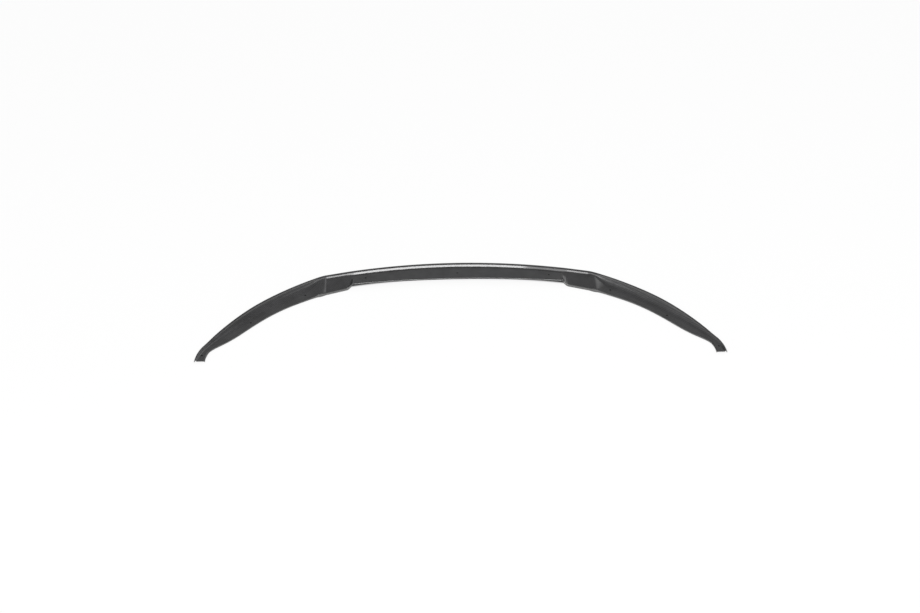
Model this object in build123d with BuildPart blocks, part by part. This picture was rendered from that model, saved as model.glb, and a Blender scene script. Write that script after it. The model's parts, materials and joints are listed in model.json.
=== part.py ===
"""Front bumper lip: one thin moulded carbon fibre skin, open underneath.

The frame is X across the car, Y to the front and Z up, with the origin under the middle of the lip's box.
The lip stands on its lower front edge. Each rib below is a section of the skin, from its rear rim over the
mounting floor and the ramp to the crest, and down the outer face to the lower front edge.
"""

from build123d import *
from math import cos, hypot, radians, sin, sqrt, tan
import os

# Skin, in mm, with the inside radii of its folds
wall = 2.5
crest_fold = 1.0
rim_fold = 1.5

# Crest and outer face
crest_height = 30.0
crest_width = 9.5
crest_radius = 1620.0
face_lean = 10.0

# Centre flange
flange_height = 22.0
flange_depth = 79.4
flange_rear_radius = 2690.0
flange_half_width = 350.0
flange_rim = 5.0
ramp_angle = 53.0
ramp_fold = 4.0

# Bead along each end of the flange, highest at the rear
bead_height = 1.5
bead_width = 4.0

# Pocket, a step down from the bead and a lower step up to the wing
inner_step = 19.0
inner_step_round = 1.6
pocket_width = 69.0
pocket_depth = 69.0
pocket_floor_rear = 10.0
pocket_ramp_rise = 6.0
pocket_rim = 8.0
pocket_end_depth = 77.0
outer_step = 14.0

# Kink, where the wing starts and the crest is rounded in from its two arcs
kink_depth = 80.2
kink_inset = 1.0
kink_floor_rear = 13.0
kink_ramp_rise = 4.5
kink_rim = 11.5

# Root of the wing, whose rib turns between the kink and the wing
root_heading = 32.0
root_turn = 18.0
root_depth = 69.0
root_crest_height = 30.5
root_floor_rear = 12.5
root_floor_front = 16.0
root_rim = 9.5

# Wing up to the neck
wing_radius = 1017.0
wing_heading = 29.84
wing_crest_width = 6.0
wing_floor = 9.0
wing_rim = 5.5
wing_lean = 8.0
sweep_angle = 66.0
sweep_fill = 0.9

# Wing ribs: heading of the crest in degrees, rib depth, crest height
wing_ribs = [
    (35.5, 62.8, 31.0),
    (40.0, 56.0, 31.5),
    (44.5, 52.8, 31.5),
    (49.5, 52.6, 28.0),
    (53.0, 50.2, 24.0),
    (56.0, 40.5, 20.0),
    (59.3, 26.2, 16.5),
]

# Tab at the tip
tab_length = 62.7
tab_flare = 19.6
tab_bulge = 3.6
tab_end_depth = 33.0
tab_crest_height = 12.0
tab_rim = 4.2
tab_lean = 2.0

# Screw holes: the flange's from its rear edge, the wing's from the crest, and the tab's from its end
hole_diameter = 6.0
centre_hole_inset = 29.3
flange_hole_x = 307.0
flange_hole_inset = 27.4
wing_hole_heading = 35.0
wing_hole_inset = 39.8
side_hole_heading = 48.2
side_hole_inset = 37.6
tab_hole_inset = 21.5
tab_hole_from_end = 27.5

flange_ramp_rise = crest_height - flange_height

# The crest runs back from its front to the kink, to the neck and to the tab's end
kink_x = flange_half_width + inner_step + pocket_width + outer_step
neck_heading = wing_ribs[-1][0]
kink_drop = crest_radius - sqrt(crest_radius**2 - kink_x**2)
neck_drop = wing_radius * (cos(radians(wing_heading)) - cos(radians(neck_heading)))
overall_depth = face_lean + kink_drop + neck_drop + tab_length
crest_front = overall_depth / 2 - face_lean


def crest_y(x):
    """Plan line of the crest between the kinks."""
    return crest_front - crest_radius + sqrt(crest_radius**2 - x**2)


def flange_rear_y(x):
    """Plan line of the rear edge of the centre flange."""
    return crest_front - flange_depth - flange_rear_radius + sqrt(flange_rear_radius**2 - x**2)


def wing_point(heading):
    """Plan point of the wing crest where it has this heading."""
    turn_x = sin(radians(heading)) - sin(radians(wing_heading))
    turn_y = cos(radians(heading)) - cos(radians(wing_heading))
    return kink_x + wing_radius * turn_x, crest_y(kink_x) + wing_radius * turn_y


def wing_spot(heading, inset):
    """Plan point on the wing, set in from the crest."""
    x, y = wing_point(heading)
    return x - inset * sin(radians(heading)), y - inset * cos(radians(heading))


def rib_plane(x, y, heading):
    """Upright plane through a crest point, with its first axis pointing out of the lip."""
    out = (sin(radians(heading)), cos(radians(heading)), 0)
    along = (cos(radians(heading)), -sin(radians(heading)), 0)
    return Plane(origin=(x, y, 0), x_dir=out, z_dir=along)


def set_in(points):
    """The same line moved in by the wall, cut level at its lower front end."""
    moved = []
    for (x0, z0), (x1, z1) in zip(points, points[1:]):
        length = hypot(x1 - x0, z1 - z0)
        start = (x0 + wall * (z1 - z0) / length, z0 - wall * (x1 - x0) / length)
        moved.append((start, (x1 - x0, z1 - z0)))
    inner = [moved[0][0]]
    for (p, d), (q, e) in zip(moved, moved[1:]):
        share = ((q[0] - p[0]) * e[1] - (q[1] - p[1]) * e[0]) / (d[0] * e[1] - d[1] * e[0])
        inner.append((p[0] + share * d[0], p[1] + share * d[1]))
    (x, z), (dx, dz) = moved[-1]
    level = points[-1][1]
    inner.append((x + (level - z) * dx / dz, level))
    return inner


def rib(plane, depth, floor_rear, rim, foot, floor_front, crest, top, fold, lean, face_bottom=0):
    """Section of the skin with rounded folds."""
    outer = [
        (-depth, floor_rear - rim),
        (-depth, floor_rear),
        (-foot, floor_front),
        (-top, crest),
        (0, crest),
        (lean, face_bottom),
    ]
    inner = set_in(outer)
    outer_folds = [rim_fold + wall, fold, crest_fold + wall, crest_fold + wall]
    inner_folds = [rim_fold, fold + wall, crest_fold, crest_fold]
    with BuildSketch(plane) as section:
        with BuildLine():
            FilletPolyline(outer, radius=outer_folds)
            Line(outer[-1], inner[-1])
            FilletPolyline(inner, radius=inner_folds)
            Line(inner[0], outer[0])
        make_face()
    return section.sketch


def straight_rib(x, depth, floor_rear, ramp_rise, rim, inset=0):
    """Rib between the kinks, with a straight ramp up to the crest, which may be set in from its arc."""
    return rib(
        rib_plane(x, crest_y(x) - inset, 0),
        depth=depth - inset,
        floor_rear=floor_rear,
        rim=rim,
        foot=crest_width + ramp_rise / tan(radians(ramp_angle)),
        floor_front=crest_height - ramp_rise,
        crest=crest_height,
        top=crest_width,
        fold=ramp_fold,
        lean=face_lean,
    )


def flange_rib(x):
    """Rib across the centre flange."""
    return straight_rib(x, crest_y(x) - flange_rear_y(x), flange_height, flange_ramp_rise, flange_rim)


def blend(share, first, last):
    """Value a share of the way from first to last."""
    return first + share * (last - first)


def step_rib(share):
    """Rib across the inner step, from the pocket at 0, where it is rounded, to the bead's top at 1."""
    rise = share**inner_step_round
    flange_end = crest_y(flange_half_width) - flange_rear_y(flange_half_width)
    return straight_rib(
        flange_half_width + inner_step * (1 - share),
        blend(rise, pocket_depth, flange_end),
        blend(rise, pocket_floor_rear, flange_height + bead_height),
        blend(rise, pocket_ramp_rise, flange_ramp_rise),
        blend(rise, pocket_rim, flange_rim + bead_height),
    )


def pocket_end_rib():
    """Rib at the outer end of the pocket."""
    return straight_rib(
        kink_x - outer_step,
        pocket_end_depth,
        pocket_floor_rear,
        pocket_ramp_rise,
        pocket_rim,
    )


def kink_rib():
    """Rib at the kink, where the pocket's outer step meets the wing."""
    return straight_rib(
        kink_x,
        kink_depth,
        kink_floor_rear,
        kink_ramp_rise,
        kink_rim,
        inset=kink_inset,
    )


def swept_rib(plane, depth, floor_rear, floor_front, rim, crest, lean, face_bottom=0):
    """Rib of the wing, whose floor sweeps up to the crest in one round."""
    rise = crest - floor_front
    ramp_length = rise / sin(radians(sweep_angle))
    return rib(
        plane,
        depth=depth,
        floor_rear=floor_rear,
        rim=rim,
        foot=wing_crest_width + rise / tan(radians(sweep_angle)),
        floor_front=floor_front,
        crest=crest,
        top=wing_crest_width,
        fold=sweep_fill * (ramp_length / tan(radians(sweep_angle / 2)) - crest_fold - wall),
        lean=lean,
        face_bottom=face_bottom,
    )


def root_rib():
    """Rib between the kink and the wing."""
    plane = rib_plane(*wing_point(root_heading), root_turn)
    return swept_rib(
        plane,
        root_depth,
        root_floor_rear,
        root_floor_front,
        root_rim,
        root_crest_height,
        wing_lean,
    )


def wing_rib(heading, depth, crest):
    """Rib square to the wing crest, with a level floor."""
    plane = rib_plane(*wing_point(heading), heading)
    return swept_rib(plane, depth, wing_floor, wing_floor, wing_rim, crest, wing_lean)


def tab_rib(share):
    """Rib of the tab, from the neck at 0 to the cut end at 1, where the face and the rim end level."""
    _, neck_depth, neck_crest = wing_ribs[-1]
    neck_x, neck_y = wing_point(neck_heading)
    x = neck_x + tab_flare * share + tab_bulge * 4 * share * (1 - share)
    return swept_rib(
        rib_plane(x, neck_y - tab_length * share, blend(share, neck_heading, 90)),
        blend(share, neck_depth, tab_end_depth),
        wing_floor,
        wing_floor,
        blend(share, wing_rim, tab_rim),
        blend(share, neck_crest, tab_crest_height),
        blend(share, wing_lean, tab_lean),
        blend(share, 0, wing_floor - tab_rim),
    )


tab_end_x = wing_point(neck_heading)[0] + tab_flare
tab_end_y = -overall_depth / 2
flange_end_x = flange_half_width - bead_width
flange_shares = (-1, -0.5, 0, 0.5, 1)
step_shares = (1, 0.8, 0.55, 0.3, 0)
hole_spots = [
    (flange_hole_x, flange_rear_y(flange_hole_x) + flange_hole_inset),
    wing_spot(wing_hole_heading, wing_hole_inset),
    wing_spot(side_hole_heading, side_hole_inset),
    (tab_end_x - tab_hole_inset, tab_end_y + tab_hole_from_end),
]

with BuildPart() as front_lip:
    loft(sections=[flange_rib(flange_end_x), step_rib(1)], ruled=True)
    loft(sections=[step_rib(share) for share in step_shares], ruled=True)
    loft(sections=[step_rib(0), pocket_end_rib()], ruled=True)
    wing = [wing_rib(*row) for row in wing_ribs]
    loft(sections=[pocket_end_rib(), kink_rib(), root_rib(), *wing])
    loft(sections=[tab_rib(share) for share in (0, 0.5, 1)])
    mirror(about=Plane.YZ)
    loft(sections=[flange_rib(share * flange_end_x) for share in flange_shares])
    with Locations((0, flange_rear_y(0) + centre_hole_inset)):
        Hole(hole_diameter / 2)
    for x, y in hole_spots:
        with Locations((-x, y), (x, y)):
            Hole(hole_diameter / 2)

front_lip.part.label = "front_lip"
os.makedirs("parts", exist_ok=True)
export_step(front_lip.part, "parts/front_lip.step")
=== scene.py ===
import json
import math

import bpy
from mathutils import Matrix, Vector


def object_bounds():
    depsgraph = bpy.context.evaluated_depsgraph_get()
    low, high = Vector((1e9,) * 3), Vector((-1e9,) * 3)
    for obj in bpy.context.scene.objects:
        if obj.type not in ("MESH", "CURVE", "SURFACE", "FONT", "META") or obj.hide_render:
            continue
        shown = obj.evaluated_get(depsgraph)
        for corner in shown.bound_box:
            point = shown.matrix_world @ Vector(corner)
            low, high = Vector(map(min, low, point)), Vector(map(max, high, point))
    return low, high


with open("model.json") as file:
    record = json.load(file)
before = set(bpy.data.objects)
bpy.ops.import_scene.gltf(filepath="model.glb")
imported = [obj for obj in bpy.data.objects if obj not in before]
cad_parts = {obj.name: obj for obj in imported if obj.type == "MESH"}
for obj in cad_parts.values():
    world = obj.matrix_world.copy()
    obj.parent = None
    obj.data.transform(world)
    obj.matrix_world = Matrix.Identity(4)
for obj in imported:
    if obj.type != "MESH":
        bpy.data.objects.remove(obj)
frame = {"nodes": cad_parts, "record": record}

bpy.context.view_layer.update()
cad_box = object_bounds()

MM = 0.001
WHITE = (1.0, 1.0, 1.0, 1.0)

# Plan of the lip, in metres, as the solid has it: one arc between the kinks and one along each wing
FLANGE_HALF = 0.350
FACE_LEAN = 0.010
CREST_FRONT = cad_box[1].y - FACE_LEAN
CREST_RADIUS = 1.620
KINK_X = 0.452
KINK_Y = CREST_FRONT - CREST_RADIUS + math.sqrt(CREST_RADIUS**2 - KINK_X**2)
WING_RADIUS = 1.017
WING_START = math.radians(29.84)
WING_CENTRE = (
    KINK_X - WING_RADIUS * math.sin(WING_START),
    KINK_Y - WING_RADIUS * math.cos(WING_START),
)

# Twill: width of a tow, tows that each float passes over, and share of a tow's height that arches
TOW = 0.0020
FLOAT_TOWS = 2
ARCH = 0.6

# Cloth: faces that look up less than this are steep, and on the others this share of a rise adds length
STEEP = 0.45
DRAPE = 0.5

# Fibres, in cells to a tow's width, how much they lighten the cloth, and the painted sheen that lightens
# the warp against the weft
FIBRES_ACROSS = 9.0
FIBRES_ALONG = 0.5
FIBRE_TONE = 0.4
WARP_PAINTED_SHEEN = 0.5
CLOTH_DARK = (0.003, 0.003, 0.0033, 1.0)
CLOTH_LIGHT = (0.032, 0.032, 0.034, 1.0)

# Drift of the cloth's tone, smears on the gloss and ripples in the coat: cells to a metre, and detail
DRIFT = (24.0, 3.0)
SMEARS = (22.0, 4.0)
RIPPLES = (160.0, 1.0)

# Sanded rims face inward and stand upright, from beside the flange on, and cut edges face down at the foot
RIM_INWARD = (0.30, 0.60)
RIM_UPRIGHT = (0.60, 0.25)
RIM_START = FLANGE_HALF + 0.004
CUT_DOWN = (-0.80, -0.95)
CUT_TOP = 0.004

# Sanding scratches: cells to a metre along and up, detail, and the range of noise that they set in over
SCRATCHES = (60.0, 900.0)
SCRATCH_DETAIL = 4.0
SCRATCH_SHOWS = (0.15, 0.45)
SANDED_DARK = (0.065, 0.065, 0.065, 1.0)
SANDED_LIGHT = (0.165, 0.165, 0.162, 1.0)

# Screw holes: radius, how many radii from the middle count as wall, and the most that a wall looks up
HOLE_RADIUS = frame["record"]["mounts"][0]["dims"]["r_mm"] * MM
BORE_REACH = 1.1
BORE_STEEP = 0.5
BARE_WALL = (0.004, 0.004, 0.004, 1.0)

# Gloss of the resin under its clear coat
RESIN_ROUGHNESS = 0.34
SMEAR_ROUGHNESS = 0.18
SANDED_ROUGHNESS = 0.62
SANDED_COAT = 0.25
COAT_ROUGHNESS = 0.06
RESIN_IOR = 1.5
FIBRE_SPECULAR = 0.25

# Bumps: strength and distance in metres, and how much of the weave prints through the coat
WEAVE_BUMP = (0.35, 0.00025)
COAT_BUMP = (0.10, 0.00006)
PRINT_THROUGH = 0.12

# Studio floor: half its width, its gloss, and the share of it that glows white
FLOOR_HALF = 14.0
FLOOR_ROUGHNESS = 0.8
FLOOR_SPECULAR = 0.1
FLOOR_GLOW = 0.88
FLOOR_PALE = (0.86, 0.86, 0.86, 1.0)
# Painted shade: the floor's colour deep under the lip
FLOOR_PAINTED_SHADE = (0.10, 0.10, 0.10, 1.0)

# Shade painted on the floor deep under the lip, where its white glow would hide the real shade: how far in
# from the crest, its fades, and its end in Y
UNDER_MIDDLE = 0.056
UNDER_WING = 0.050
UNDER_FADE = 0.014
UNDER_FRONT_FADE = 0.008
UNDER_REAR_END = (-0.09, -0.07)

# Shade painted on the floor that shows through a tab's hole: how far beyond the hole, and the edges of its
# fade
TAB_HOLE_VIEW = 0.004
TAB_HOLE_SHADE = (0.0125, 0.0095)

# Camera, fitted to the photograph's outline, with its angles in degrees and its lens in millimetres
CAMERA_TARGET = Vector((0.0038, 0.0284, 0.0))
CAMERA_DISTANCE = 5.5
CAMERA_ELEVATION = 36.0
CAMERA_AZIMUTH = -2.16
CAMERA_ROLL = 0.24
CAMERA_LENS = 65.42
SENSOR_WIDTH = 36.0
CLIP_END = 100.0

# World: its strength at the horizon and overhead, and the sines of elevation that it changes between
HORIZON = 1.0
OVERHEAD = 0.46
HORIZON_BAND = (0.05, 0.17)

# Soft spots in the world: azimuth, elevation and reach in degrees, and what each adds.
# The two at the back show in the floors, and the five at the sides in the sweeps of the wings.
WORLD_SPOTS = [
    (130.0, 37.0, 24.0, 1.35),
    (-142.0, 12.0, 30.0, -0.44),
    (-70.0, 35.0, 50.0, 0.35),
    (-53.0, 40.0, 18.0, 1.3),
    (57.0, 40.0, 16.0, 1.0),
    (-40.0, 37.0, 12.0, 3.5),
    (40.0, 37.0, 12.0, 2.0),
]

# Softboxes on the camera's side: azimuth in degrees, distance, width, height and radiance.
# The wide one and the main one show in the ramp behind the crest, and the narrow ones in its ends.
SOFTBOX_ELEVATION = 40.0
SOFTBOXES = {
    "front_wide": (1.0, 7.0, 5.5, 2.5, 3.0),
    "front_main": (5.0, 6.9, 2.75, 2.5, 12.0),
    "front_left": (-20.0, 6.9, 0.56, 2.4, 5.0),
    "front_right": (22.5, 6.9, 0.56, 2.4, 5.0),
}

scene = bpy.context.scene
scene.view_settings.view_transform = "Standard"


class Graph:
    """Short ways to add shader nodes to a material or a world."""

    def __init__(self, owner):
        owner.use_nodes = True
        self.nodes = owner.node_tree.nodes
        self.links = owner.node_tree.links

    def put(self, socket, value):
        """Links a node's output to the socket, or sets the socket to a plain value."""
        if isinstance(value, bpy.types.NodeSocket):
            self.links.new(value, socket)
        else:
            socket.default_value = value

    def add(self, kind, **settings):
        node = self.nodes.new(kind)
        for key, value in settings.items():
            setattr(node, key, value)
        return node

    def split(self, vector):
        """The three parts of a vector."""
        node = self.add("ShaderNodeSeparateXYZ")
        self.put(node.inputs[0], vector)
        return node.outputs

    def math(self, operation, *values, clamp=False):
        node = self.add("ShaderNodeMath", operation=operation, use_clamp=clamp)
        for socket, value in zip(node.inputs, values):
            self.put(socket, value)
        return node.outputs[0]

    def mix(self, share, first, last):
        """Number a share of the way from first to last."""
        return self.math("MULTIPLY_ADD", share, self.math("SUBTRACT", last, first), first)

    def ramp(self, value, low, high, first=0.0, last=1.0):
        """The first number at low, the last at high, smooth between."""
        node = self.add("ShaderNodeMapRange", interpolation_type="SMOOTHSTEP")
        for socket, number in zip(node.inputs, (value, low, high, first, last)):
            self.put(socket, number)
        return node.outputs[0]

    def plan_vector(self, x, y):
        node = self.add("ShaderNodeCombineXYZ")
        self.put(node.inputs[0], x)
        self.put(node.inputs[1], y)
        return node.outputs[0]

    def distance(self, x, y, spot):
        """Distance in plan from a spot."""
        node = self.add("ShaderNodeVectorMath", operation="DISTANCE")
        self.put(node.inputs[0], self.plan_vector(x, y))
        self.put(node.inputs[1], (*spot, 0.0))
        return node.outputs["Value"]

    def noise(self, vector, scale, detail):
        node = self.add("ShaderNodeTexNoise")
        self.put(node.inputs["Vector"], vector)
        self.put(node.inputs["Scale"], scale)
        self.put(node.inputs["Detail"], detail)
        return node.outputs["Fac"]

    def streaks(self, u, v, scale_u, scale_v, detail=2.0):
        """Noise that is finer one way than the other."""
        fine_u = self.math("MULTIPLY", u, scale_u)
        fine_v = self.math("MULTIPLY", v, scale_v)
        return self.noise(self.plan_vector(fine_u, fine_v), 1.0, detail)

    def colours(self, share, first, last):
        """Colour a share of the way from first to last."""
        node = self.add("ShaderNodeMix", data_type="RGBA")
        self.put(node.inputs["Factor"], share)
        self.put(node.inputs["A"], first)
        self.put(node.inputs["B"], last)
        return node.outputs["Result"]

    def bump(self, height, strength, distance):
        node = self.add("ShaderNodeBump")
        self.put(node.inputs["Strength"], strength)
        self.put(node.inputs["Distance"], distance)
        self.put(node.inputs["Height"], height)
        return node.outputs["Normal"]


def hole_spots():
    """Plan places of the screw holes on the right half, from the middle to the tab."""
    spots = []
    for mount in frame["record"]["mounts"]:
        x, y, _ = mount["pos_m"]
        half_spacing = mount["dims"].get("spacing_x_mm", 0.0) * MM / 2
        spots.append((x + half_spacing, y))
    return spots


def past_kink(g, out):
    """1 on the wings and 0 between the kinks."""
    return g.math("GREATER_THAN", out, KINK_X)


def along_lip(g, out, y):
    """Length along the lip from its middle: straight to the kink, then round the wing's arc."""
    wing_x = g.math("SUBTRACT", out, WING_CENTRE[0])
    wing_y = g.math("SUBTRACT", y, WING_CENTRE[1])
    turn = g.math("SUBTRACT", g.math("ARCTAN2", wing_x, wing_y), WING_START)
    round_wing = g.math("MULTIPLY_ADD", turn, WING_RADIUS, KINK_X)
    return g.mix(past_kink(g, out), out, round_wing)


def behind_crest(g, out, y):
    """Distance in plan from the crest line in towards the rear edge."""
    chord = g.math("SQRT", g.math("SUBTRACT", CREST_RADIUS**2, g.math("MULTIPLY", out, out)))
    middle = g.math("SUBTRACT", g.math("ADD", chord, CREST_FRONT - CREST_RADIUS), y)
    wing = g.math("SUBTRACT", WING_RADIUS, g.distance(out, y, WING_CENTRE))
    return g.mix(past_kink(g, out), middle, wing)


def tow_height(g, across, along):
    """Height of a tow, round across its width and arched over its float."""
    width = g.math("SINE", g.math("MULTIPLY", g.math("FRACT", across), math.pi))
    place = g.math("FLOORED_MODULO", along, 2 * FLOAT_TOWS)
    crown = g.math("ABSOLUTE", g.math("SINE", g.math("MULTIPLY", place, math.pi / FLOAT_TOWS)))
    return g.math("MULTIPLY", width, g.math("MULTIPLY_ADD", crown, ARCH, 1.0 - ARCH))


def twill(g, u, v):
    """Height of the weave, and 1 where the warp is on top. Tows lie one unit of u and v apart."""
    warp = g.math("FLOOR", u)
    weft = g.math("FLOOR", v)
    phase = g.math("FLOORED_MODULO", g.math("ADD", warp, weft), 2 * FLOAT_TOWS)
    warp_on_top = g.math("LESS_THAN", phase, FLOAT_TOWS - 0.5)
    warp_height = tow_height(g, u, g.math("ADD", v, warp))
    weft_height = tow_height(g, v, g.math("ADD", u, weft))
    return g.mix(warp_on_top, weft_height, warp_height), warp_on_top


def cloth_colour(g, point, u, v, warp_on_top):
    """Fibres run along each tow, the warp is lighter than the weft by a painted sheen, and the cloth's
    tone drifts over its length.
    """
    warp_fibres = g.streaks(u, v, FIBRES_ACROSS, FIBRES_ALONG)
    weft_fibres = g.streaks(u, v, FIBRES_ALONG, FIBRES_ACROSS)
    fibres = g.mix(warp_on_top, weft_fibres, warp_fibres)
    # The warp's lighter tone is a painted sheen that stands for the tows' different reflection along their
    # fibres
    tone = g.math("MULTIPLY_ADD", fibres, FIBRE_TONE, g.math("MULTIPLY", warp_on_top, WARP_PAINTED_SHEEN))
    drift = g.math("SUBTRACT", g.noise(point, *DRIFT), 0.5)
    tone = g.math("ADD", tone, drift, clamp=True)
    return g.colours(tone, CLOTH_DARK, CLOTH_LIGHT)


def bore_mask(g, out, y, level):
    """1 on the walls of the screw holes."""
    nearest, *others = [g.distance(out, y, spot) for spot in hole_spots()]
    for other in others:
        nearest = g.math("MINIMUM", nearest, other)
    beside_hole = g.math("LESS_THAN", nearest, HOLE_RADIUS * BORE_REACH)
    return g.math("MULTIPLY", beside_hole, g.math("LESS_THAN", level, BORE_STEEP))


def carbon_material():
    """Clear-coated 2x2 twill carbon fibre, with a sanded, matte trim along the rims and cut edges."""
    material = bpy.data.materials.new("carbon")
    g = Graph(material)
    place = g.add("ShaderNodeTexCoord")
    point = place.outputs["Object"]
    x, y, z = g.split(point)
    nx, ny, nz = g.split(place.outputs["Normal"])
    level = g.math("ABSOLUTE", nz)
    side = g.math("SIGN", x)
    out = g.math("ABSOLUTE", x)
    along = g.math("MULTIPLY", side, along_lip(g, out, y))

    # The cloth lies level on the floors and is drawn down over the steep faces
    steep = g.math("LESS_THAN", level, STEEP)
    u = g.math("DIVIDE", g.mix(steep, x, along), TOW)
    v = g.math("DIVIDE", g.mix(steep, g.math("MULTIPLY_ADD", z, DRAPE, y), z), TOW)
    height, warp_on_top = twill(g, u, v)
    cloth = cloth_colour(g, point, u, v, warp_on_top)

    # Rims of the pockets and wings, and the lower edges, are trimmed and sanded after moulding
    to_middle = g.math("MULTIPLY", nx, g.math("MULTIPLY", side, -1.0))
    inward = g.math("MULTIPLY_ADD", to_middle, past_kink(g, out), g.math("MULTIPLY", ny, -1.0))
    rim = g.math("MULTIPLY", g.ramp(inward, *RIM_INWARD), g.ramp(level, *RIM_UPRIGHT))
    rim = g.math("MULTIPLY", rim, g.math("GREATER_THAN", out, RIM_START))
    cut = g.math("MULTIPLY", g.ramp(nz, *CUT_DOWN), g.math("LESS_THAN", z, CUT_TOP))
    scratches = g.streaks(along, z, *SCRATCHES, SCRATCH_DETAIL)
    trim = g.math("MULTIPLY", g.math("MAXIMUM", rim, cut), g.ramp(scratches, *SCRATCH_SHOWS))
    sanded = g.colours(scratches, SANDED_DARK, SANDED_LIGHT)
    surface = g.colours(trim, cloth, sanded)

    # Walls of the drilled holes are bare and dark
    bore = bore_mask(g, out, y, level)
    shader = g.nodes["Principled BSDF"]
    g.put(shader.inputs["Base Color"], g.colours(bore, surface, BARE_WALL))

    # The resin is glossy with faint smears, and dull where it is sanded or drilled
    gloss = g.math("MULTIPLY_ADD", g.noise(point, *SMEARS), SMEAR_ROUGHNESS, RESIN_ROUGHNESS)
    worked = g.math("MAXIMUM", trim, bore)
    g.put(shader.inputs["Roughness"], g.mix(worked, gloss, SANDED_ROUGHNESS))
    coat = g.math("MULTIPLY_ADD", trim, SANDED_COAT - 1.0, 1.0)
    g.put(shader.inputs["Coat Weight"], g.math("MULTIPLY", coat, g.math("SUBTRACT", 1.0, bore)))
    g.put(shader.inputs["Coat Roughness"], COAT_ROUGHNESS)
    g.put(shader.inputs["Coat IOR"], RESIN_IOR)
    g.put(shader.inputs["IOR"], RESIN_IOR)
    g.put(shader.inputs["Specular IOR Level"], FIBRE_SPECULAR)

    # The coat is nearly flat, with slow ripples and a trace of the weave below it
    coat_height = g.math("MULTIPLY_ADD", height, PRINT_THROUGH, g.noise(point, *RIPPLES))
    g.put(shader.inputs["Normal"], g.bump(height, *WEAVE_BUMP))
    g.put(shader.inputs["Coat Normal"], g.bump(coat_height, *COAT_BUMP))
    return material


def painted_shade_under_lip(g, out, y):
    """1 where shade is painted on the floor deep under the lip and behind a tab's hole, and 0 elsewhere.
    """
    inside = behind_crest(g, out, y)
    reach = g.mix(past_kink(g, out), UNDER_MIDDLE, UNDER_WING)
    under = g.ramp(inside, reach, g.math("SUBTRACT", reach, UNDER_FADE))
    under = g.math("MULTIPLY", under, g.ramp(inside, -UNDER_FRONT_FADE, 0.0))
    under = g.math("MULTIPLY", under, g.ramp(y, *UNDER_REAR_END))
    tab_x, tab_y = hole_spots()[-1]
    near_tab_hole = g.distance(out, y, (tab_x, tab_y + TAB_HOLE_VIEW))
    return g.math("MAXIMUM", under, g.ramp(near_tab_hole, *TAB_HOLE_SHADE))


def floor_material():
    """Pale floor that the camera and reflections see as white, with shade painted dark deep under the lip.
    """
    material = bpy.data.materials.new("floor")
    g = Graph(material)
    x, y, _ = g.split(g.add("ShaderNodeTexCoord").outputs["Object"])
    # Painted shade: deep under the lip the floor's colour turns dark and its glow gives way
    under = painted_shade_under_lip(g, g.math("ABSOLUTE", x), y)
    shader = g.nodes["Principled BSDF"]
    g.put(shader.inputs["Base Color"], g.colours(under, FLOOR_PALE, FLOOR_PAINTED_SHADE))
    g.put(shader.inputs["Roughness"], FLOOR_ROUGHNESS)
    g.put(shader.inputs["Specular IOR Level"], FLOOR_SPECULAR)
    glow = g.add("ShaderNodeEmission")
    g.put(glow.inputs["Color"], WHITE)
    g.put(glow.inputs["Strength"], 1.0)
    rays = g.add("ShaderNodeLightPath")
    seen = g.math("MAXIMUM", rays.outputs["Is Camera Ray"], rays.outputs["Is Glossy Ray"])
    seen = g.math("MAXIMUM", seen, rays.outputs["Is Transmission Ray"])
    share = g.math("MULTIPLY_ADD", under, -FLOOR_GLOW, FLOOR_GLOW)
    mixed = g.add("ShaderNodeMixShader")
    g.put(mixed.inputs[0], g.math("MULTIPLY", seen, share))
    g.put(mixed.inputs[1], shader.outputs[0])
    g.put(mixed.inputs[2], glow.outputs[0])
    g.put(g.nodes["Material Output"].inputs["Surface"], mixed.outputs[0])
    return material


def direction(azimuth, elevation):
    """Unit vector towards a place in the studio. Azimuth 0 is the camera's side, and 90 is the right."""
    a, e = math.radians(azimuth), math.radians(elevation)
    return Vector((math.sin(a) * math.cos(e), -math.cos(a) * math.cos(e), math.sin(e)))


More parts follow.
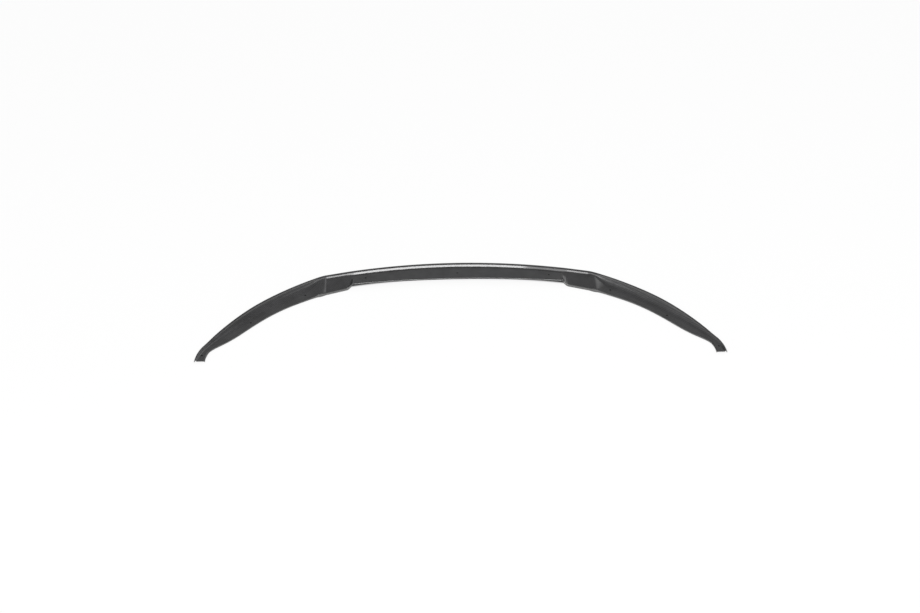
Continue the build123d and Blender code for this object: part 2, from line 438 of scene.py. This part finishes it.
def world_light():
    """Even light, pale at the horizon and grey overhead, with soft lighter or darker spots."""
    world = bpy.data.worlds.new("studio")
    scene.world = world
    g = Graph(world)
    towards = g.add("ShaderNodeTexCoord").outputs["Generated"]
    _, _, rise = g.split(towards)
    total = g.ramp(rise, *HORIZON_BAND, HORIZON, OVERHEAD)
    for azimuth, elevation, reach, gain in WORLD_SPOTS:
        closeness = g.add("ShaderNodeVectorMath", operation="DOT_PRODUCT")
        g.put(closeness.inputs[0], towards)
        g.put(closeness.inputs[1], direction(azimuth, elevation))
        edge = math.cos(math.radians(reach))
        total = g.math("ADD", total, g.ramp(closeness.outputs["Value"], edge, 1.0, 0.0, gain))
    background = g.nodes["Background"]
    g.put(background.inputs["Color"], WHITE)
    g.put(background.inputs["Strength"], total)


def softbox(name, azimuth, distance, width, height, radiance):
    """Oval area lamp that faces the lip."""
    back = direction(azimuth, SOFTBOX_ELEVATION)
    lamp = bpy.data.lights.new(name, "AREA")
    lamp.shape = "ELLIPSE"
    lamp.size = width
    lamp.size_y = height
    area = math.pi / 4 * width * height
    lamp.energy = radiance * math.pi * area
    holder = bpy.data.objects.new(name, lamp)
    holder.location = back * distance
    holder.rotation_mode = "QUATERNION"
    holder.rotation_quaternion = back.to_track_quat("Z", "Y")
    scene.collection.objects.link(holder)


def add_camera():
    """Camera at the photograph's viewing angle."""
    back = direction(CAMERA_AZIMUTH, CAMERA_ELEVATION)
    right = direction(CAMERA_AZIMUTH + 90.0, 0.0)
    up = back.cross(right)
    moved = Matrix.Translation(CAMERA_TARGET + back * CAMERA_DISTANCE)
    turned = Matrix((right, up, back)).transposed().to_4x4()
    rolled = Matrix.Rotation(math.radians(CAMERA_ROLL), 4, "Z")
    data = bpy.data.cameras.new("camera")
    data.sensor_width = SENSOR_WIDTH
    data.lens = CAMERA_LENS
    data.clip_end = CLIP_END
    camera = bpy.data.objects.new("camera", data)
    camera.matrix_world = moved @ turned @ rolled
    scene.collection.objects.link(camera)
    scene.camera = camera


def add_floor():
    """Large level floor under the lip."""
    half = FLOOR_HALF
    mesh = bpy.data.meshes.new("floor")
    corners = [(-half, -half, 0.0), (half, -half, 0.0), (half, half, 0.0), (-half, half, 0.0)]
    mesh.from_pydata(corners, [], [(0, 1, 2, 3)])
    mesh.materials.append(floor_material())
    floor = bpy.data.objects.new("floor", mesh)
    scene.collection.objects.link(floor)


lip = frame["nodes"]["front_lip"]
lip.material_slots[0].link = "OBJECT"
lip.material_slots[0].material = carbon_material()

add_floor()
add_camera()
world_light()
for name, settings in SOFTBOXES.items():
    softbox(name, *settings)
